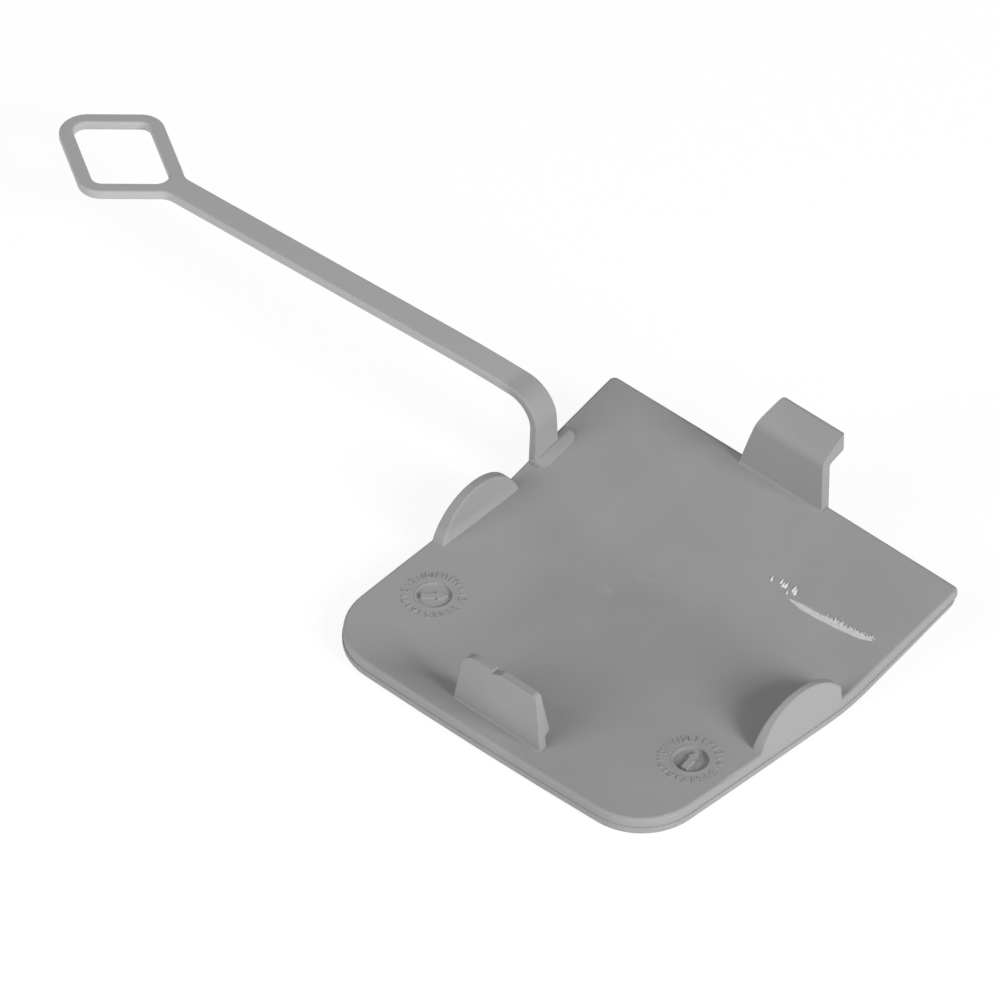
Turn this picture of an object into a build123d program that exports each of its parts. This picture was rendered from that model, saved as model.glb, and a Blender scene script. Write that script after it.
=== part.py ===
from build123d import *

import os
from math import cos, radians, sin, tan

os.makedirs("parts", exist_ok=True)

# One moulded cover, lying on the flat front half of its outer skin.
# +Z is up, X runs along the back edge, Y from the front edge to the back edge.
# The origin is the middle of the panel in plan, to a tenth of a millimetre, on the underside.

# Panel outline in plan
back_width = 65.25
panel_depth = 62.7
panel_x = 0.05
panel_y = -0.1
left_taper = 1.4
right_taper = 2.85
front_skew = 0.8
back_crown = 0.12
left_crown = 0.4
front_crown = 0.55
right_crown = 0.25
back_corner_radius = 1.0
front_left_radius = 9.9
front_right_radius = 9.3

# Panel section: an inner plate on an outer skin that stands proud all round
plate_thickness = 2.85
skin_thickness = 1.35
skin_overhang = 0.15
skin_back_corner_radius = 2.2
plate_edge_round = 0.5
skin_lower_round = 0.65

# Fold across the panel
fold_start_y = 5.6
fold_radius = 24.5
fold_angle = 13.9
fold_thinning = 2.4

# Half-round locating tabs, almost flush with the side edges
left_tab_radius = 8.45
right_tab_radius = 8.8
tab_sink = 2.6
left_tab_thickness = 2.4
right_tab_thickness = 2.15
tab_outer_draft = 3.5
tab_inner_draft = 4.0
tab_outer_round = 0.25
tab_inner_round = 0.35
tab_inset = 0.05
tab_root = 0.3
left_tab_y = 0.95
right_tab_y = 0.42
right_tab_end_y = 7.6

# Snap tab inside the front edge
snap_width = 16.3
snap_face_y = -28.3
snap_height = 9.75
snap_base_thickness = 1.3
snap_tip_thickness = 1.15
snap_left_lean = 2.2
snap_right_lean = 0.8
snap_left_corner_radius = 3.0
snap_right_corner_radius = 0.9
snap_notch_left_x = -0.75
snap_notch_width = 1.6
snap_notch_depth = 0.7
snap_foot_radius = 0.25
barb_reach = 1.4
barb_inset = 0.8
barb_catch_height = 0.6
barb_land_height = 1.7
barb_peak_height = 2.3
barb_top_height = 9.2

# Hook clip on the back edge
clip_left_x = -7.4
clip_right_x = 8.0
clip_wall_thickness = 1.55
clip_stand_off = 0.05
clip_foot_height = 0.25
clip_corner_z = 17.6
clip_lip_angle = 30.0
clip_under_z = 16.2
clip_under_angle = 18.0
clip_lip_reach = 3.3
clip_bend_radius = 2.4
clip_root_radius = 0.6
clip_foot_radius = 0.5
clip_end_top_round = 0.5
clip_end_low_round = 0.8
clip_left_lean = 4.1
clip_left_bow = 0.15
clip_right_lean = -0.05
clip_left_corner_radius = 1.0
clip_right_corner_radius = 0.7

# Tether strap that rises from the left edge and bends outwards
bend_width = 4.35
strap_width = 4.2
strap_thickness = 1.5
strap_round = 0.35
strap_y = 15.6
strap_edge_inset = 0.1
strap_top_z = 15.35
leg_foot_width = 5.2
bend_inner_radius = 3.9
droop_radius = 240.0
droop_angle = 3.34

# Ring at the end of the strap, a leaning rhombus
ring_x = -115.05
ring_y = 15.8
ring_length = 28.7
ring_width = 20.6
ring_lean = 11.2
ring_bar = 2.1
ring_corner_radius = 3.9
ring_neck = 5.0
ring_neck_radius = 3.0

# Foot pad under the strap
pad_height = 0.8
pad_slope = 18.0
pad_round = 0.5
pad_inset = 0.6
pad_reach = 3.3
pad_front = 2.7
pad_back = 4.8
pad_corner_radius = 1.6

# Date dials sunk in the flat half of the panel
dial_spacing = 48.3
dial_y = -15.2
dial_x = 0.2
dial_disc_radius = 2.55
left_dial_depth = 0.3
right_dial_depth = 0.6
dial_rim_width = 0.3
dial_rim_height = 0.05
arrow_width = 0.9
arrow_length = 3.8
arrow_head = 1.5
left_arrow_turn = 43.0
right_arrow_turn = 100.0

# Past the panel in any direction, for cutting shapes
reach = 1.4 * back_width

# How far a piece starts inside the one that carries it
sink = 0.6


def back_left(grow=0.0):
    return Vector(panel_x - back_width / 2 - grow, panel_y + panel_depth / 2 + grow)


def back_right(grow=0.0):
    return Vector(panel_x + back_width / 2 + grow, panel_y + panel_depth / 2 + grow)


def front_left(grow=0.0):
    return Vector(panel_x - back_width / 2 + left_taper - grow, panel_y - panel_depth / 2 - grow)


def front_right(grow=0.0):
    return Vector(panel_x + back_width / 2 - right_taper + grow, panel_y - panel_depth / 2 + front_skew - grow)


def bowed_edge(start, end, crown):
    """An arc that bows to the right of its direction by the crown."""
    along = (end - start).normalized()
    outward = Vector(along.Y, -along.X)
    return ThreePointArc(start, (start + end) / 2 + outward * crown, end)


def round_corner(face, corner, radius):
    return fillet(face.vertices().sort_by_distance(corner)[0], radius)


def panel_outline(grow, back_radius):
    """The panel in plan, grown by an equal amount on every side."""
    face = make_face([
        bowed_edge(front_left(grow), front_right(grow), front_crown),
        bowed_edge(front_right(grow), back_right(grow), right_crown),
        bowed_edge(back_right(grow), back_left(grow), back_crown),
        bowed_edge(back_left(grow), front_left(grow), left_crown),
    ])
    face = round_corner(face, front_left(grow), front_left_radius + grow)
    face = round_corner(face, front_right(grow), front_right_radius + grow)
    face = round_corner(face, back_left(grow), back_radius)
    return round_corner(face, back_right(grow), back_radius)


def left_edge_x(y):
    """Plan position of the plate's left edge."""
    share = (panel_y + panel_depth / 2 - y) / panel_depth
    return panel_x - back_width / 2 + left_taper * share - 4 * left_crown * share * (1 - share)


def fold_points(height):
    """Side profile of a surface; the raised half gets thinner towards the back edge."""
    radius = fold_radius - height
    angle = radians(fold_angle + fold_thinning * (1 - height / plate_thickness))
    start = Vector(-reach, height)
    bend_start = Vector(fold_start_y, height)
    bend_middle = Vector(fold_start_y + radius * sin(angle / 2), fold_radius - radius * cos(angle / 2))
    bend_end = Vector(fold_start_y + radius * sin(angle), fold_radius - radius * cos(angle))
    end = bend_end + Vector(cos(angle), sin(angle)) * reach
    return start, bend_start, bend_middle, bend_end, end


def surface_z(y, height=plate_thickness):
    """Height of the raised half of the panel above the rest plane."""
    bend_end, end = fold_points(height)[3:]
    return bend_end.Y + (y - bend_end.X) * (end.Y - bend_end.Y) / (end.X - bend_end.X)


def fold_band(low, high):
    """A wide slab between two heights that follows the fold."""
    a = fold_points(low)
    b = fold_points(high)
    section = make_face([
        Line(a[0], a[1]),
        ThreePointArc(a[1], a[2], a[3]),
        Line(a[3], a[4]),
        Line(a[4], b[4]),
        Line(b[4], b[3]),
        ThreePointArc(b[3], b[2], b[1]),
        Line(b[1], b[0]),
        Line(b[0], a[0]),
    ])
    return extrude(Plane.YZ * section, reach, both=True)


def rim_edges(faces):
    """Edges that belong to only one of the faces."""
    edges = [edge for face in faces for edge in face.edges()]
    return [edge for edge in edges if sum(edge.is_same(other) for other in edges) == 1]


def faces_up(solid):
    return [face for face in solid.faces() if face.normal_at().Z > 0.9]


def faces_down(solid):
    return [face for face in solid.faces() if face.normal_at().Z < -0.9]


def plate():
    """The inner plate, with its upper edge rounded."""
    column = extrude(panel_outline(0, back_corner_radius), reach)
    solid = fold_band(skin_thickness, plate_thickness) & column
    return fillet(rim_edges(faces_up(solid)), plate_edge_round)


def skin():
    """The outer skin that carries the plate and stands proud of it."""
    column = extrude(panel_outline(skin_overhang, skin_back_corner_radius), reach)
    solid = fold_band(0, skin_thickness) & column
    return fillet(rim_edges(faces_down(solid)), skin_lower_round)


def side_half(side, grow):
    """Half of the panel in plan, out to one side edge that is grown outwards."""
    if side > 0:
        start, end, crown = front_right(grow), back_right(grow), right_crown
    else:
        start, end, crown = back_left(grow), front_left(grow), left_crown
    return make_face([
        bowed_edge(start, end, crown),
        Line(end, (0, end.Y)),
        Line((0, end.Y), (0, start.Y)),
        Line((0, start.Y), start),
    ])


def half_round_tab(side, centre_y, radius, end_y, thickness):
    """A half disc standing on a side edge, cut off past end_y; its faces lean together upwards."""
    base_z = plate_thickness - plate_edge_round - tab_root
    rise = radius
    outer = extrude(side_half(side, -tab_inset), rise, taper=tab_outer_draft)
    inner = extrude(side_half(side, -thickness), rise, taper=-tab_inner_draft)
    disc = Pos(centre_y, plate_thickness - tab_sink) * Circle(radius)
    disc -= Pos(end_y + radius / 2, 0) * Rectangle(radius, 4 * radius)
    tab = Pos(0, 0, base_z) * (outer - inner) & extrude(Plane.YZ * disc, side * reach)
    for direction, edge_round in ((side, tab_outer_round), (-side, tab_inner_round)):
        arcs = tab.edges().filter_by_position(Axis.Z, plate_thickness + radius / 4, reach)
        arc = max(arcs, key=lambda edge: direction * edge.center().X)
        tab = fillet(arc, edge_round)
    return tab


def snap_tab():
    """The upright tab inside the front edge, with a catch on its inner side."""
    floor_z = plate_thickness
    top_z = floor_z + snap_height
    back_y = snap_face_y + snap_base_thickness
    blade = make_face(Polyline([
        (snap_face_y - snap_foot_radius, floor_z - sink),
        (snap_face_y - snap_foot_radius, floor_z),
        (snap_face_y, floor_z),
        (snap_face_y, top_z),
        (snap_face_y + snap_tip_thickness, top_z),
        (back_y, floor_z),
        (back_y + snap_foot_radius, floor_z),
        (back_y + snap_foot_radius, floor_z - sink),
    ], close=True))
    blade = round_corner(blade, (snap_face_y, floor_z), snap_foot_radius * 0.98)
    middle_y = snap_face_y + snap_tip_thickness / 2
    catch_slope = (barb_land_height - barb_catch_height) / barb_reach
    catch = make_face(Polyline([
        (middle_y, floor_z + barb_top_height),
        (snap_face_y + snap_tip_thickness, floor_z + barb_top_height),
        (back_y + barb_reach, floor_z + barb_peak_height),
        (back_y + barb_reach, floor_z + barb_land_height),
        (middle_y, floor_z + barb_catch_height - (back_y - middle_y) * catch_slope),
    ], close=True))
    half = snap_width / 2
    shape = extrude(Plane.YZ * blade, half, both=True)
    shape += extrude(Plane.YZ * catch, half - barb_inset, both=True)

    left_top = (-half + snap_left_lean, top_z)
    right_top = (half - snap_right_lean, top_z)
    front = make_face(Polyline([
        (-half, floor_z - sink),
        (half, floor_z - sink),
        right_top,
        (snap_notch_left_x + snap_notch_width, top_z),
        (snap_notch_left_x, top_z - snap_notch_depth),
        (snap_notch_left_x, top_z),
        left_top,
    ], close=True))
    front = round_corner(front, left_top, snap_left_corner_radius)
    front = round_corner(front, right_top, snap_right_corner_radius)
    return shape & extrude(Plane.XZ * front, reach, both=True)


def hook_clip():
    """The upright wall on the back edge and the lip that leans out over the edge."""
    outer_y = panel_y + panel_depth / 2 + back_crown + clip_stand_off
    inner_y = outer_y - clip_wall_thickness
    end_y = outer_y + clip_lip_reach
    top_z = clip_corner_z + (end_y - inner_y) * tan(radians(clip_lip_angle))
    end_z = clip_under_z + clip_lip_reach * tan(radians(clip_under_angle))
    foot_z = surface_z(inner_y)
    toe_y = inner_y - clip_foot_radius
    side = make_face(Polyline([
        (inner_y, foot_z),
        (inner_y, clip_corner_z),
        (end_y, top_z),
        (end_y, end_z),
        (outer_y, clip_under_z),
        (outer_y, surface_z(outer_y, skin_thickness) + clip_foot_height),
        (toe_y, surface_z(toe_y, skin_thickness) + clip_foot_height),
        (toe_y, surface_z(toe_y)),
    ], close=True))
    side = round_corner(side, (inner_y, foot_z), clip_foot_radius * 0.98)
    side = round_corner(side, (inner_y, clip_corner_z), clip_bend_radius)
    side = round_corner(side, (outer_y, clip_under_z), clip_root_radius)
    side = round_corner(side, (end_y, top_z), clip_end_top_round)
    side = round_corner(side, (end_y, end_z), clip_end_low_round)
    shape = extrude(Plane.YZ * side, back_width, both=True)

    left_low = Vector(clip_left_x, foot_z)
    left_high = Vector(clip_left_x + clip_left_lean, top_z)
    left_middle = (left_low + left_high) / 2 - Vector(clip_left_bow, 0)
    right_low = Vector(clip_right_x, foot_z)
    right_high = Vector(clip_right_x - clip_right_lean, top_z)
    shape &= extrude(Plane.XZ * make_face([
        Line((clip_left_x, 0), left_low),
        ThreePointArc(left_low, left_middle, left_high),
        Line(left_high, right_high),
        Line(right_high, right_low),
        Line(right_low, (clip_right_x, 0)),
        Line((clip_right_x, 0), (clip_left_x, 0)),
    ]), reach, both=True)

    left_corner = (left_high, left_low, clip_left_corner_radius, 1)
    right_corner = (right_high, right_low, clip_right_corner_radius, -1)
    for high, low, radius, inward in (left_corner, right_corner):
        corner = Pos(high.X, end_y, top_z) * Rectangle(2 * radius, 2 * radius)
        corner -= Pos(high.X + inward * radius, end_y - radius, top_z) * Circle(radius)
        down = Vector(low.X - high.X, 0, low.Y - high.Y)
        shape -= extrude(corner, down.length, dir=down.normalized())
    return shape


def strap_points():
    """Centre line of the strap: leg, bend, drooping arc and straight run to the ring."""
    leg_x = left_edge_x(strap_y) + strap_edge_inset + strap_thickness / 2
    bend_radius = bend_inner_radius + strap_thickness / 2
    top_z = strap_top_z - strap_thickness / 2
    angle = radians(droop_angle)
    foot = Vector(leg_x, strap_y, skin_thickness + sink)
    bend_start = Vector(leg_x, strap_y, top_z - bend_radius)
    bend_middle = bend_start + Vector(cos(radians(45)) - 1, 0, sin(radians(45))) * bend_radius
    bend_end = bend_start + Vector(-1, 0, 1) * bend_radius
    arc_middle = bend_end + Vector(-sin(angle / 2), 0, cos(angle / 2) - 1) * droop_radius
    arc_end = bend_end + Vector(-sin(angle), 0, cos(angle) - 1) * droop_radius
    end_x = ring_x + (ring_length / 2 + ring_neck) * cos(angle)
    run_end = arc_end + Vector(-1, 0, -tan(angle)) * (arc_end.X - end_x)
    return foot, bend_start, bend_middle, bend_end, arc_middle, arc_end, run_end


def strap():
    """The widening leg, the bend of one width and the run that narrows to the ring."""
    foot, bend_start, bend_middle, bend_end, arc_middle, arc_end, run_end = strap_points()
    across = Vector(0, 1, 0)

    def section(point, direction, width):
        plane = Plane(point, x_dir=across, z_dir=direction)
        return plane * RectangleRounded(width, strap_thickness, strap_round)

    up = Vector(0, 0, 1)
    out = Vector(-1, 0, 0)
    leg = loft([section(foot, up, leg_foot_width), section(bend_start, up, bend_width)])
    bend = sweep(section(bend_start, up, bend_width), path=ThreePointArc(bend_start, bend_middle, bend_end))
    droop = ThreePointArc(bend_end, arc_middle, arc_end)
    straight = run_end - arc_end
    share = droop.length / (droop.length + straight.length)
    droop_end = section(arc_end, straight, bend_width + (strap_width - bend_width) * share)
    drooping = sweep([section(bend_end, out, bend_width), droop_end], path=droop, multisection=True)
    run = loft([droop_end, section(run_end, straight, strap_width)], ruled=True)
    return leg + bend + drooping + run


def rhombus(inset, radius):
    """The ring's outline, moved in by the inset and with rounded corners."""
    lean = radians(ring_lean)
    near = Vector(ring_length / 2, 0)
    side = Vector(-sin(lean), cos(lean)) * (ring_width / 2)
    face = make_face(Polyline([near, side, near * -1, side * -1], close=True))
    if inset:
        face = offset(face, -inset, kind=Kind.INTERSECTION)
    for corner in face.vertices():
        face = round_corner(face, corner.center(), radius)
    return face


def ring():
    """The ring and the neck that carries on from the strap."""
    angle = radians(droop_angle)
    along = Vector(cos(angle), 0, sin(angle))
    run_end = strap_points()[-1]
    centre = run_end - along * (ring_neck + ring_length / 2) + Vector(0, ring_y - strap_y, 0)
    plane = Plane(origin=centre, x_dir=along, z_dir=Vector(-sin(angle), 0, cos(angle)))

    neck_start = ring_length / 2 - 2 * ring_bar
    neck_length = ring_neck + 2 * ring_bar
    outline = rhombus(0, ring_corner_radius)
    neck_y = strap_y - ring_y
    outline += Pos(neck_start + neck_length / 2, neck_y) * Rectangle(neck_length, strap_width)
    inside_corners = [
        vertex for vertex in outline.vertices()
        if abs(abs(vertex.Y - neck_y) - strap_width / 2) < 0.01 and vertex.X < (ring_length + ring_neck) / 2
    ]
    outline = fillet(inside_corners, ring_neck_radius)
    outline -= rhombus(ring_bar, ring_corner_radius - ring_bar)
    body = extrude(plane * outline, strap_thickness / 2, both=True)

    end_x = run_end.X - strap_thickness
    flat_faces = [face for face in body.faces() if abs(face.normal_at().dot(plane.z_dir)) > 0.99]
    edges = [edge for face in flat_faces for edge in face.edges() if edge.center().X < end_x]
    return fillet(edges, strap_round)


def foot_pad():
    """The low pad on the panel's edge that the strap stands on; it slopes down from the leg."""
    left = left_edge_x(strap_y) - 2
    right = left_edge_x(strap_y) + pad_reach
    front = strap_y - pad_front
    back = strap_y + pad_back
    plan = make_face(Polyline([(left, front), (right, front), (right, back), (left, back)], close=True))
    plan = round_corner(plan, (right, front), pad_corner_radius)
    plan = round_corner(plan, (right, back), pad_corner_radius)
    plan = plan & panel_outline(-pad_inset, back_corner_radius)
    pad = extrude(plan, reach) & fold_band(skin_thickness + sink, plate_thickness + pad_height)
    pad = fillet(rim_edges(faces_up(pad)), pad_round)
    leg_face = Vector(left_edge_x(strap_y) + strap_edge_inset + strap_thickness, strap_y)
    leg_face.Z = surface_z(strap_y) + pad_height
    slope = Vector(tan(radians(pad_slope)), -tan(radians(fold_angle)), 1)
    below = Plane(leg_face, z_dir=slope.normalized()) * Pos(0, 0, -reach / 2) * Box(2 * reach, 2 * reach, reach)
    return pad & below


def arrow(turn, height):
    """A plain arrow, drawn about the dial's centre."""
    half = arrow_length / 2
    neck = half - arrow_head
    outline = make_face(Polyline([
        (-half, -arrow_width / 2),
        (neck, -arrow_width / 2),
        (neck, -arrow_head / 2),
        (half, 0),
        (neck, arrow_head / 2),
        (neck, arrow_width / 2),
        (-half, arrow_width / 2),
    ], close=True))
    return Rot(0, 0, turn) * extrude(outline, height)


def dial_marks(turn, depth):
    """The arrow in the sunk disc and the raised circle round it."""
    circle = Circle(dial_disc_radius + dial_rim_width) - Circle(dial_disc_radius)
    marks = Pos(0, 0, -depth) * arrow(turn, depth)
    return marks + Pos(0, 0, -dial_rim_height) * extrude(circle, 2 * dial_rim_height)


def cover():
    solid = plate() + skin()
    solid += half_round_tab(-1, left_tab_y, left_tab_radius, reach, left_tab_thickness)
    solid += half_round_tab(1, right_tab_y, right_tab_radius, right_tab_end_y, right_tab_thickness)
    solid += snap_tab()
    solid += hook_clip()
    solid += foot_pad()
    solid += strap()
    solid += ring()
    left_dial = (-1, left_arrow_turn, left_dial_depth)
    right_dial = (1, right_arrow_turn, right_dial_depth)
    for side, turn, depth in (left_dial, right_dial):
        place = Pos(dial_x + side * dial_spacing / 2, dial_y, plate_thickness)
        solid -= place * Pos(0, 0, -depth) * extrude(Circle(dial_disc_radius), 2 * depth)
        solid += place * dial_marks(turn, depth)
    return solid


if __name__ == "__main__":
    export_step(cover(), "parts/cover.step")
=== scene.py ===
import math
import random

import bmesh
import bpy
from mathutils import Matrix, Vector, noise


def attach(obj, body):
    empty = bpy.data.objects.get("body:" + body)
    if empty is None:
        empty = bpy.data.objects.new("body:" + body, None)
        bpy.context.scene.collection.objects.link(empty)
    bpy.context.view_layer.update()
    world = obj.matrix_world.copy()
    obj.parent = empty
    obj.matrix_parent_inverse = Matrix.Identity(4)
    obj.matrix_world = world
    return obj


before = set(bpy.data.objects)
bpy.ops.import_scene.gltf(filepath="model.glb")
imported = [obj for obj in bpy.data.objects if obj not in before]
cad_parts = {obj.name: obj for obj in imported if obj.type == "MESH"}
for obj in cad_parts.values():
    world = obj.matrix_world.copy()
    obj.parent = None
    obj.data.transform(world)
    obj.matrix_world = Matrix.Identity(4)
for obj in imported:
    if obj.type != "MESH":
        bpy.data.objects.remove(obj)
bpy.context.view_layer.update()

MM = 0.001

# Sizes and places on the part are in millimetres unless a line says otherwise

# Raised half of the panel: the same fold as in the part's source
FLAT_Z = 2.85
FOLD_START_Y = 5.6
FOLD_RADIUS = 24.5 - FLAT_Z
FOLD_ANGLE = math.radians(13.9)

# Date dials
DIAL_SPACING = 48.3
DIAL_Y = -15.2
DIAL_X = 0.2
LEFT_DIAL_TURN = 90.0
RIGHT_DIAL_TURN = 150.0
NUMBERS = 12
NUMBER_RADIUS = 4.05
NUMBER_SIZE = 1.55
NUMBER_HEIGHT = 0.13
TICK_RADIUS = 3.55
TICK_LENGTH = 1.0
TICK_WIDTH = 0.17
TICK_HEIGHT = 0.13

# Scrape on the raised half: a band with burrs along its far side, and loose chips before it
SCRAPE_START = (14.15, 16.3)
SCRAPE_END = (28.6, 17.6)
SCRAPE_SAG = 0.36
SCRAPE_HALF_WIDTH = 0.42
START_TAPER = 0.14
END_TAPER = 0.12
BAND_STEPS = 120
BAND_COLUMNS = 9
BURRS = 26
BURRS_FROM = 0.38

# The scraped band's film: its least height, its rise to the far side and its roughness
FILM_HEIGHT = 0.03
FILM_RISE = 0.05
FILM_ROUGHNESS = 0.03

# The scrape's pieces start this far under the panel's face
SCRAPE_SINK = 0.05

# Loose chips before the band: x, y and size
CHIPS = (
    (10.0, 17.2, 0.6),
    (11.4, 17.6, 0.65),
    (11.95, 17.3, 0.65),
    (12.35, 17.4, 0.8),
    (13.3, 16.7, 0.5),
    (13.85, 17.45, 1.0),
    (14.25, 17.2, 0.85),
)
CHIP_HEIGHT = 0.35

# Greys, as 8-bit display values; a pair is the two ends of a mottle
PANEL_GREYS = (155, 161)
MARK_GREYS = (158, 164)
# The strap's grey is painted light: the strap is painted lighter than the panel of the same plastic
STRAP_PAINTED_LIGHT_GREY = 183
# The left patch's grey is painted light: a lighter pool painted on the panel's left side
LEFT_PAINTED_LIGHT_GREY = 170
SMUDGE_GREY = 172
SCRAPED_GREYS = (176, 192)
TORN_GREYS = (194, 214)
CHIP_GREY = 236

# Where the grey changes: centre, half sizes and, where it is turned, the angle
# A pool of painted light on the panel's left side
LEFT_PAINTED_LIGHT = ((-31.0, -12.0, 2.85), (21.0, 26.0, 2.6))
LEFT_PAINTED_LIGHT_STRENGTH = 0.7
SMUDGES = (
    ((-4.3, 7.2, 3.2), (2.2, 0.9, 3.0), 20.0),
    ((-7.4, 2.0, 2.9), (2.6, 1.0, 3.0), -15.0),
)
CHIP_PATCH = ((12.0, 18.4, 5.5), (5.0, 2.2, 30.0))
# Along x, the strap's painted light fades in between these two places
STRAP_FROM_X = -34.5
STRAP_FULL_X = -38.5

# Floor: its side in metres, and how far it lies under the part's flat face
FLOOR_SIDE = 6.0
FLOOR_GAP = 0.02
FLOOR_WHITE = 0.86
FLOOR_GLOW = 0.1
FLOOR_SEEN_WHITE = 1.06
FLOOR_SEEN_SHARE = 0.82

# Lamps: name, azimuth and elevation in degrees, distance and size in metres, power in watts
LAMPS = (
    ("side", 90, 27, 1.6, 0.6, 21.0),
    ("front_high", 345, 40, 1.6, 1.0, 5.3),
    ("front_low", 345, 15, 1.6, 1.0, 8.1),
)
ROOM_LIGHT = 0.21

# Camera, as the photograph was taken
CAMERA_PLACE = (727.72, -811.1, 1031.0)
CAMERA_TARGET = (-22.41, -3.3, 13.76)
CAMERA_LENS = 387.33
SENSOR = 36.0

random.seed(7)


def panel_z(y):
    """Height of the panel's inner face, in millimetres."""
    end_y = FOLD_START_Y + FOLD_RADIUS * math.sin(FOLD_ANGLE)
    if y <= FOLD_START_Y:
        return FLAT_Z
    if y < end_y:
        return FLAT_Z + FOLD_RADIUS - math.sqrt(FOLD_RADIUS ** 2 - (y - FOLD_START_Y) ** 2)
    rise = FOLD_RADIUS * (1 - math.cos(FOLD_ANGLE))
    return FLAT_Z + rise + (y - end_y) * math.tan(FOLD_ANGLE)


def srgb(value):
    """Linear value of an 8-bit display grey."""
    v = value / 255
    return v / 12.92 if v <= 0.04045 else ((v + 0.055) / 1.055) ** 2.4


def grey(value):
    return (srgb(value), srgb(value), srgb(value), 1.0)


def greys(pair):
    return [grey(value) for value in pair]


# Materials


class Nodes:
    """A small helper that adds and links shader nodes."""

    def __init__(self, name):
        self.material = bpy.data.materials.new(name)
        self.material.use_nodes = True
        self.tree = self.material.node_tree
        self.tree.nodes.clear()
        self.output = self.tree.nodes.new("ShaderNodeOutputMaterial")

    def add(self, kind, **settings):
        node = self.tree.nodes.new(kind)
        for key, value in settings.items():
            setattr(node, key, value)
        return node

    def link(self, source, target):
        self.tree.links.new(source, target)

    def math(self, operation, a, b=None, c=None, clamp=False):
        node = self.add("ShaderNodeMath", operation=operation, use_clamp=clamp)
        for index, value in enumerate((a, b, c)):
            if value is None:
                continue
            if isinstance(value, (int, float)):
                node.inputs[index].default_value = value
            else:
                self.link(value, node.inputs[index])
        return node.outputs[0]

    def noise(self, vector, scale, detail=2.0, roughness=0.5, distortion=0.0):
        node = self.add("ShaderNodeTexNoise", noise_dimensions="3D")
        node.inputs["Scale"].default_value = scale
        node.inputs["Detail"].default_value = detail
        node.inputs["Roughness"].default_value = roughness
        node.inputs["Distortion"].default_value = distortion
        self.link(vector, node.inputs["Vector"])
        return node.outputs[0]

    def spread(self, value, low, high, to_low=0.0, to_high=1.0, smooth=True):
        node = self.add("ShaderNodeMapRange", clamp=True)
        node.interpolation_type = "SMOOTHSTEP" if smooth else "LINEAR"
        limits = (("From Min", low), ("From Max", high), ("To Min", to_low), ("To Max", to_high))
        for key, number in limits:
            node.inputs[key].default_value = number
        self.link(value, node.inputs["Value"])
        return node.outputs["Result"]

    def mix(self, factor, a, b):
        node = self.add("ShaderNodeMix", data_type="RGBA")
        self.link(factor, node.inputs["Factor"])
        for value, socket in ((a, node.inputs[6]), (b, node.inputs[7])):
            if isinstance(value, tuple):
                socket.default_value = value
            else:
                self.link(value, socket)
        return node.outputs[2]

    def spot(self, vector, place, size, angle=0.0):
        """1 inside a soft oval at a place on the part, in millimetres, and 0 outside."""
        mapping = self.add("ShaderNodeMapping", vector_type="TEXTURE")
        mapping.inputs["Location"].default_value = [v * MM for v in place]
        mapping.inputs["Rotation"].default_value = (0, 0, math.radians(angle))
        mapping.inputs["Scale"].default_value = [v * MM for v in size]
        self.link(vector, mapping.inputs["Vector"])
        length = self.add("ShaderNodeVectorMath", operation="LENGTH")
        self.link(mapping.outputs[0], length.inputs[0])
        return self.spread(length.outputs["Value"], 1.0, 0.5)


def scrape_mask(n, position):
    """Where the panel's skin is scraped: a sagging band with a torn far side."""
    along = Vector(SCRAPE_END) - Vector(SCRAPE_START)
    length = along.length * MM
    mapping = n.add("ShaderNodeMapping", vector_type="TEXTURE")
    mapping.inputs["Location"].default_value = (SCRAPE_START[0] * MM, SCRAPE_START[1] * MM, 0)
    mapping.inputs["Rotation"].default_value = (0, 0, math.atan2(along.y, along.x))
    n.link(position, mapping.inputs["Vector"])
    split = n.add("ShaderNodeSeparateXYZ")
    n.link(mapping.outputs[0], split.inputs[0])
    share = n.math("DIVIDE", split.outputs["X"], length)
    bow = n.math("MULTIPLY", share, n.math("SUBTRACT", 1.0, share))
    across = n.math("ADD", split.outputs["Y"], n.math("MULTIPLY", bow, 4 * SCRAPE_SAG * MM))
    ragged = n.noise(position, 1900.0, detail=3.0)
    across = n.math("ADD", across, n.math("MULTIPLY", n.math("SUBTRACT", ragged, 0.5), 0.3 * MM))
    ends = n.math(
        "MULTIPLY",
        n.spread(share, -0.04, 0.16, smooth=False),
        n.spread(share, 1.02, 0.88, smooth=False),
    )
    narrowed = n.math("MULTIPLY", n.math("SUBTRACT", 1.0, ends), 0.65 * MM)
    far = n.math("ADD", n.math("ABSOLUTE", across), narrowed)
    band = n.spread(far, 0.6 * MM, 0.4 * MM)
    above = n.spread(split.outputs["Z"], 3.4 * MM, 3.6 * MM)
    return n.math("MULTIPLY", band, above)


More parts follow.
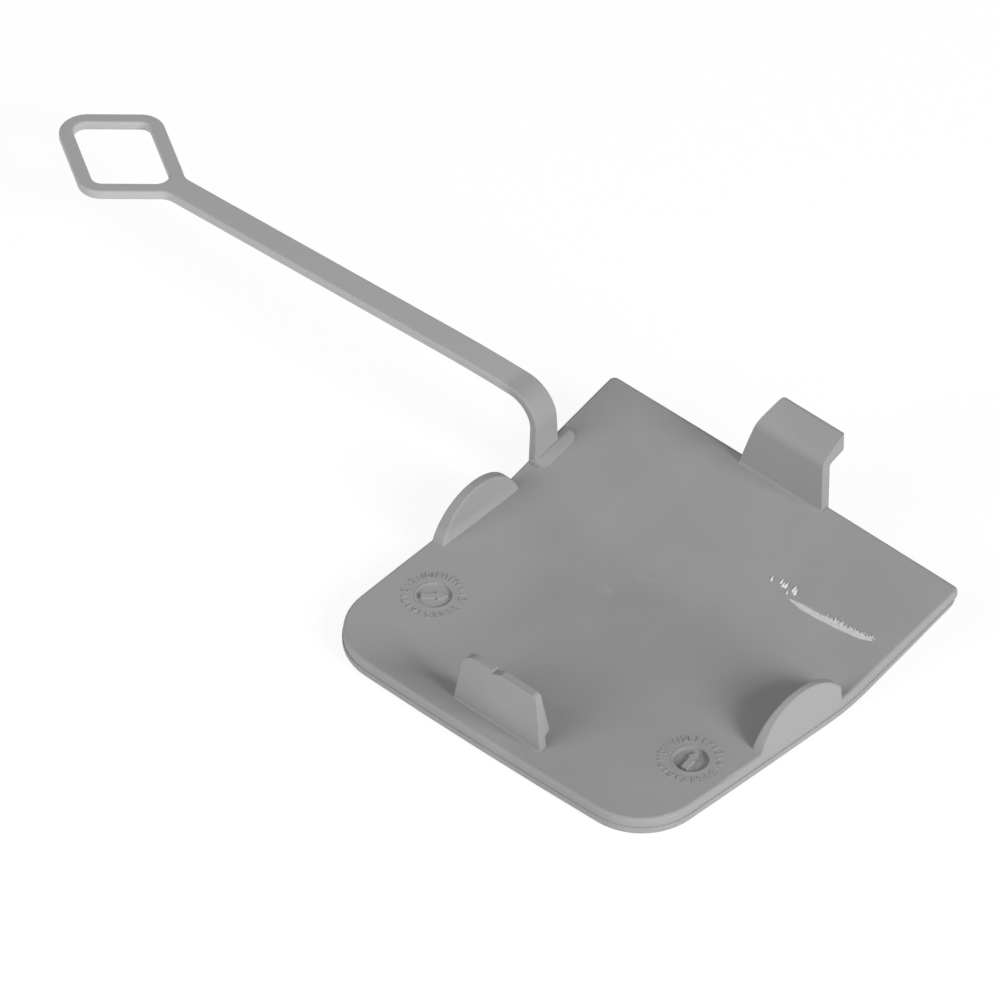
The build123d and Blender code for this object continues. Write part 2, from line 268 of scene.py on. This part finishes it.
def moulded_plastic(name, pair, scraped=False):
    """Unpainted moulded plastic: a fine grain, a faint cloudiness and small scuffs, with painted
    light on the strap and on the panel's left side.
    """
    n = Nodes(name)
    base, light = greys(pair)
    position = n.add("ShaderNodeTexCoord").outputs["Object"]
    clouds = n.noise(position, 55.0, detail=3.0, roughness=0.55, distortion=0.4)
    grain = n.noise(position, 2600.0, detail=3.0, roughness=0.6)
    fine = n.noise(position, 900.0, detail=2.0)
    colour = n.mix(n.spread(clouds, 0.3, 0.7), base, light)
    speck = n.spread(grain, 0.35, 0.75, 0.0, 0.16)
    colour = n.mix(speck, colour, light)
    split = n.add("ShaderNodeSeparateXYZ")
    n.link(position, split.inputs[0])
    # Painted light: the strap, past the panel's left edge, is painted lighter
    strap_painted_light = n.spread(split.outputs["X"], STRAP_FROM_X * MM, STRAP_FULL_X * MM)
    colour = n.mix(strap_painted_light, colour, grey(STRAP_PAINTED_LIGHT_GREY))
    # Painted light: a lighter pool on the panel's left side
    left_painted_light = n.math("MULTIPLY", n.spot(position, *LEFT_PAINTED_LIGHT), LEFT_PAINTED_LIGHT_STRENGTH)
    colour = n.mix(left_painted_light, colour, grey(LEFT_PAINTED_LIGHT_GREY))

    first, second = [n.spot(position, *smudge) for smudge in SMUDGES]
    smudged = n.math("MULTIPLY", n.math("ADD", first, second), n.spread(fine, 0.35, 0.7, 0.0, 0.35))
    colour = n.mix(smudged, colour, grey(SMUDGE_GREY))

    height = n.math("ADD", n.math("MULTIPLY", grain, 0.6), n.math("MULTIPLY", fine, 0.4))
    rough = n.spread(clouds, 0.25, 0.75, 0.66, 0.76)
    if scraped:
        mask = scrape_mask(n, position)
        streak = n.noise(position, 3200.0, detail=4.0, roughness=0.7)
        pale = n.mix(n.spread(streak, 0.35, 0.7), *greys(SCRAPED_GREYS))
        colour = n.mix(mask, colour, pale)
        height = n.math("ADD", height, n.math("MULTIPLY", mask, streak))

    bump = n.add("ShaderNodeBump")
    bump.inputs["Strength"].default_value = 0.22
    bump.inputs["Distance"].default_value = 0.06 * MM
    n.link(height, bump.inputs["Height"])
    shader = n.add("ShaderNodeBsdfPrincipled")
    n.link(colour, shader.inputs["Base Color"])
    n.link(rough, shader.inputs["Roughness"])
    shader.inputs["Specular IOR Level"].default_value = 0.2
    n.link(bump.outputs[0], shader.inputs["Normal"])
    n.link(shader.outputs[0], n.output.inputs["Surface"])
    return n.material


def torn_plastic(name):
    """Whitened plastic of the burrs and chips."""
    n = Nodes(name)
    position = n.add("ShaderNodeTexCoord").outputs["Object"]
    streak = n.noise(position, 2400.0, detail=4.0, roughness=0.7)
    colour = n.mix(n.spread(streak, 0.35, 0.7), *greys(TORN_GREYS))
    colour = n.mix(n.spot(position, *CHIP_PATCH), colour, grey(CHIP_GREY))
    bump = n.add("ShaderNodeBump")
    bump.inputs["Strength"].default_value = 0.3
    bump.inputs["Distance"].default_value = 0.06 * MM
    n.link(streak, bump.inputs["Height"])
    shader = n.add("ShaderNodeBsdfPrincipled")
    n.link(colour, shader.inputs["Base Color"])
    n.link(n.spread(streak, 0.2, 0.8, 0.3, 0.5), shader.inputs["Roughness"])
    n.link(bump.outputs[0], shader.inputs["Normal"])
    n.link(shader.outputs[0], n.output.inputs["Surface"])
    return n.material


def seen_directly(n):
    """1 for a ray from the camera, or one that a gloss or a glass sends on."""
    path = n.add("ShaderNodeLightPath")
    direct = n.math("MAXIMUM", path.outputs["Is Camera Ray"], path.outputs["Is Glossy Ray"])
    return n.math("MAXIMUM", direct, path.outputs["Is Transmission Ray"])


def emission(n, name, strength):
    node = n.add("ShaderNodeEmission", name=name)
    node.inputs["Color"].default_value = (1, 1, 1, 1)
    node.inputs["Strength"].default_value = strength
    return node.outputs[0]


def floor_material():
    """A white table, lit from below as well, that still takes the part's shadow.

    It is clear from below, so that the part's underside can be seen.
    """
    n = Nodes("floor_white")
    diffuse = n.add("ShaderNodeBsdfDiffuse")
    diffuse.inputs["Color"].default_value = (FLOOR_WHITE, FLOOR_WHITE, FLOOR_WHITE, 1)
    table = n.add("ShaderNodeAddShader")
    n.link(diffuse.outputs[0], table.inputs[0])
    n.link(emission(n, "lit", FLOOR_GLOW), table.inputs[1])
    blend = n.add("ShaderNodeMixShader")
    n.link(n.math("MULTIPLY", seen_directly(n), FLOOR_SEEN_SHARE), blend.inputs[0])
    n.link(table.outputs[0], blend.inputs[1])
    n.link(emission(n, "white", FLOOR_SEEN_WHITE), blend.inputs[2])
    sided = n.add("ShaderNodeMixShader")
    n.link(n.add("ShaderNodeNewGeometry").outputs["Backfacing"], sided.inputs[0])
    n.link(blend.outputs[0], sided.inputs[1])
    n.link(n.add("ShaderNodeBsdfTransparent").outputs[0], sided.inputs[2])
    n.link(sided.outputs[0], n.output.inputs["Surface"])
    return n.material


# Pieces


def piece(name, mesh, material):
    made = bpy.data.objects.new(name, mesh)
    bpy.context.scene.collection.objects.link(made)
    mesh.materials.clear()
    mesh.materials.append(material)
    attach(made, "root")
    return made


def number_mesh(text, size, height):
    """A raised number as a mesh, centred on the origin, in metres."""
    curve = bpy.data.curves.new("number", "FONT")
    curve.body = text
    curve.size = size * MM
    curve.extrude = height * MM
    curve.resolution_u = 3
    curve.align_x = "CENTER"
    curve.align_y = "CENTER"
    holder = bpy.data.objects.new("number", curve)
    bpy.context.scene.collection.objects.link(holder)
    bpy.context.view_layer.update()
    depsgraph = bpy.context.evaluated_depsgraph_get()
    mesh = bpy.data.meshes.new_from_object(holder.evaluated_get(depsgraph))
    bpy.data.objects.remove(holder)
    bpy.data.curves.remove(curve)
    return mesh


def add_tick(whole, centre_x, angle):
    """A short raised stroke between two of a dial's numbers."""
    out = Vector((math.cos(angle), math.sin(angle), 0))
    side = Vector((-out.y, out.x, 0)) * TICK_WIDTH / 2
    near = Vector((centre_x, DIAL_Y, FLAT_Z)) + out * TICK_RADIUS
    far = near + out * TICK_LENGTH
    ring = [near - side, far - side, far + side, near + side]
    up = Vector((0, 0, TICK_HEIGHT))
    low = [whole.verts.new((p - up) * MM) for p in ring]
    high = [whole.verts.new((p + up) * MM) for p in ring]
    whole.faces.new(low[::-1])
    whole.faces.new(high)
    for i in range(4):
        j = (i + 1) % 4
        whole.faces.new((low[i], low[j], high[j], high[i]))


def dial_numbers(name, centre_x, turn, material):
    """The numbers round a date dial, and a stroke between each two."""
    whole = bmesh.new()
    step = 2 * math.pi / NUMBERS
    for number in range(1, NUMBERS + 1):
        angle = math.radians(turn) - step * number
        place = Matrix.Translation((
            (centre_x + NUMBER_RADIUS * math.cos(angle)) * MM,
            (DIAL_Y + NUMBER_RADIUS * math.sin(angle)) * MM,
            FLAT_Z * MM,
        ))
        mesh = number_mesh(str(number), NUMBER_SIZE, NUMBER_HEIGHT)
        mesh.transform(place @ Matrix.Rotation(angle - math.pi / 2, 4, "Z"))
        whole.from_mesh(mesh)
        bpy.data.meshes.remove(mesh)
        add_tick(whole, centre_x, angle + step / 2)
    mesh = bpy.data.meshes.new(name)
    whole.to_mesh(mesh)
    whole.free()
    return piece(name, mesh, material)


def scrape_point(share, across):
    """A point on the scrape, in millimetres; across is positive towards the back edge."""
    start, end = Vector(SCRAPE_START), Vector(SCRAPE_END)
    along = (end - start).normalized()
    side = Vector((-along.y, along.x))
    return start.lerp(end, share) + side * (across - 4 * SCRAPE_SAG * share * (1 - share))


def add_burr(whole, place, lean, length, width, height):
    """A small torn flake: a bent four-sided tooth that stands on the panel."""
    base = []
    side = Vector((-lean.y, lean.x)) * width / 2
    for offset in (side, lean * width * 0.5, -side, -lean * width * 0.4):
        p = place + offset
        base.append(Vector((p.x, p.y, panel_z(p.y) - SCRAPE_SINK)))
    middle = []
    for corner in base:
        shift = Vector((lean.x, lean.y, 0)) * length * 0.45
        centre = sum(base, Vector()) / 4
        p = centre + (corner - centre) * 0.6 + shift
        middle.append(Vector((p.x, p.y, corner.z + SCRAPE_SINK + height * 0.75)))
    tip = place + lean * length
    top = Vector((tip.x, tip.y, panel_z(tip.y) + height * random.uniform(0.5, 1.0)))
    low = [whole.verts.new(p * MM) for p in base]
    mid = [whole.verts.new(p * MM) for p in middle]
    end = whole.verts.new(top * MM)
    for i in range(4):
        j = (i + 1) % 4
        whole.faces.new((low[i], low[j], mid[j], mid[i]))
        whole.faces.new((mid[i], mid[j], end))
    whole.faces.new(low[::-1])


def add_band(whole):
    """The scraped band itself: a thin ridged film, thickest along its far side."""
    rows = []
    for i in range(BAND_STEPS + 1):
        share = i / BAND_STEPS
        taper = min(1.0, share / START_TAPER, (1 - share) / END_TAPER)
        row = []
        for k in range(BAND_COLUMNS):
            u = 2 * k / (BAND_COLUMNS - 1) - 1
            wobble = noise.noise(Vector((share * 22, u * 1.3, 3.1)))
            half = SCRAPE_HALF_WIDTH * (0.2 + 0.8 * taper) * (1 + 0.25 * wobble)
            p = scrape_point(share, u * half)
            rough = abs(noise.noise(Vector((share * 40, u * 2, 0.4))))
            film = FILM_HEIGHT + FILM_RISE * max(0.0, u) + FILM_ROUGHNESS * rough
            on_rim = k in (0, BAND_COLUMNS - 1) or i in (0, BAND_STEPS)
            lift = -SCRAPE_SINK if on_rim else film * taper
            row.append(whole.verts.new(Vector((p.x, p.y, panel_z(p.y) + lift)) * MM))
        rows.append(row)
    for a, b in zip(rows[:-1], rows[1:]):
        for k in range(BAND_COLUMNS - 1):
            whole.faces.new((a[k], b[k], b[k + 1], a[k + 1]))
    rim = [r[0] for r in rows] + rows[-1][1:] + [r[-1] for r in rows[-2::-1]] + rows[0][-2:0:-1]
    whole.faces.new(rim)


def scrape(material):
    whole = bmesh.new()
    add_band(whole)
    for i in range(BURRS):
        share = BURRS_FROM + (1 - BURRS_FROM) * (i + random.uniform(0.1, 0.9)) / BURRS
        place = scrape_point(share, SCRAPE_HALF_WIDTH * random.uniform(0.6, 0.95))
        lean = Vector((random.uniform(-0.4, 0.6), 1.0)).normalized()
        length = random.uniform(0.25, 0.7)
        width = random.uniform(0.25, 0.5)
        add_burr(whole, place, lean, length, width, random.uniform(0.15, 0.35))
    for x, y, size in CHIPS:
        lean = Vector((random.uniform(-0.2, 0.2), 1.0)).normalized()
        add_burr(whole, Vector((x, y)), lean, size, size * 0.75, CHIP_HEIGHT)
    bmesh.ops.recalc_face_normals(whole, faces=whole.faces)
    mesh = bpy.data.meshes.new("scrape_burrs")
    whole.to_mesh(mesh)
    whole.free()
    return piece("scrape_burrs", mesh, material)


def stage_floor():
    bpy.ops.mesh.primitive_plane_add(size=FLOOR_SIDE, location=(0, 0, -FLOOR_GAP * MM))
    floor = bpy.context.object
    floor.name = "floor"
    floor.data.materials.append(floor_material())


def soft_light(name, azimuth, elevation, distance, size, power):
    """A square lamp that faces the part. Azimuth 0 is on the -Y side and 90 on the +X side."""
    a, e = math.radians(azimuth), math.radians(elevation)
    place = Vector((math.sin(a) * math.cos(e), -math.cos(a) * math.cos(e), math.sin(e))) * distance
    lamp = bpy.data.lights.new(name, "AREA")
    lamp.shape = "SQUARE"
    lamp.size = size
    lamp.energy = power
    holder = bpy.data.objects.new(name, lamp)
    holder.location = place
    holder.rotation_mode = "QUATERNION"
    holder.rotation_quaternion = (-place).to_track_quat("-Z", "Y")
    bpy.context.scene.collection.objects.link(holder)


def surroundings(strength):
    """An even pale room that the camera sees as white."""
    world = bpy.data.worlds.new("studio")
    bpy.context.scene.world = world
    world.use_nodes = True
    tree = world.node_tree
    tree.nodes.clear()
    path = tree.nodes.new("ShaderNodeLightPath")
    dim = tree.nodes.new("ShaderNodeBackground")
    dim.name = "dimmed"
    dim.inputs["Color"].default_value = (1, 1, 1, 1)
    dim.inputs["Strength"].default_value = strength
    white = tree.nodes.new("ShaderNodeBackground")
    white.inputs["Color"].default_value = (1, 1, 1, 1)
    white.inputs["Strength"].default_value = 1.0
    blend = tree.nodes.new("ShaderNodeMixShader")
    seen = path.outputs["Is Camera Ray"]
    for other in ("Is Glossy Ray", "Is Transmission Ray"):
        either = tree.nodes.new("ShaderNodeMath")
        either.operation = "MAXIMUM"
        tree.links.new(seen, either.inputs[0])
        tree.links.new(path.outputs[other], either.inputs[1])
        seen = either.outputs[0]
    tree.links.new(seen, blend.inputs[0])
    tree.links.new(dim.outputs[0], blend.inputs[1])
    tree.links.new(white.outputs[0], blend.inputs[2])
    out = tree.nodes.new("ShaderNodeOutputWorld")
    tree.links.new(blend.outputs[0], out.inputs["Surface"])


def camera():
    data = bpy.data.cameras.new("camera")
    data.lens = CAMERA_LENS
    data.sensor_width = SENSOR
    data.clip_start = 0.05
    data.clip_end = 20.0
    holder = bpy.data.objects.new("camera", data)
    place = Vector(CAMERA_PLACE) * MM
    holder.location = place
    holder.rotation_mode = "QUATERNION"
    holder.rotation_quaternion = (Vector(CAMERA_TARGET) * MM - place).to_track_quat("-Z", "Y")
    bpy.context.scene.collection.objects.link(holder)
    bpy.context.scene.camera = holder


plastic = moulded_plastic("moulded_grey", PANEL_GREYS, scraped=True)
numbers = moulded_plastic("moulded_marks", MARK_GREYS)
torn = torn_plastic("torn_plastic")

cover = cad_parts["cover"]
cover.data.materials.clear()
cover.data.materials.append(plastic)

dial_numbers("dial_numbers_left", DIAL_X - DIAL_SPACING / 2, LEFT_DIAL_TURN, numbers)
dial_numbers("dial_numbers_right", DIAL_X + DIAL_SPACING / 2, RIGHT_DIAL_TURN, numbers)
scrape(torn)

stage_floor()
surroundings(ROOM_LIGHT)
for lamp_values in LAMPS:
    soft_light(*lamp_values)
camera()

scene = bpy.context.scene
scene.view_settings.view_transform = "Standard"
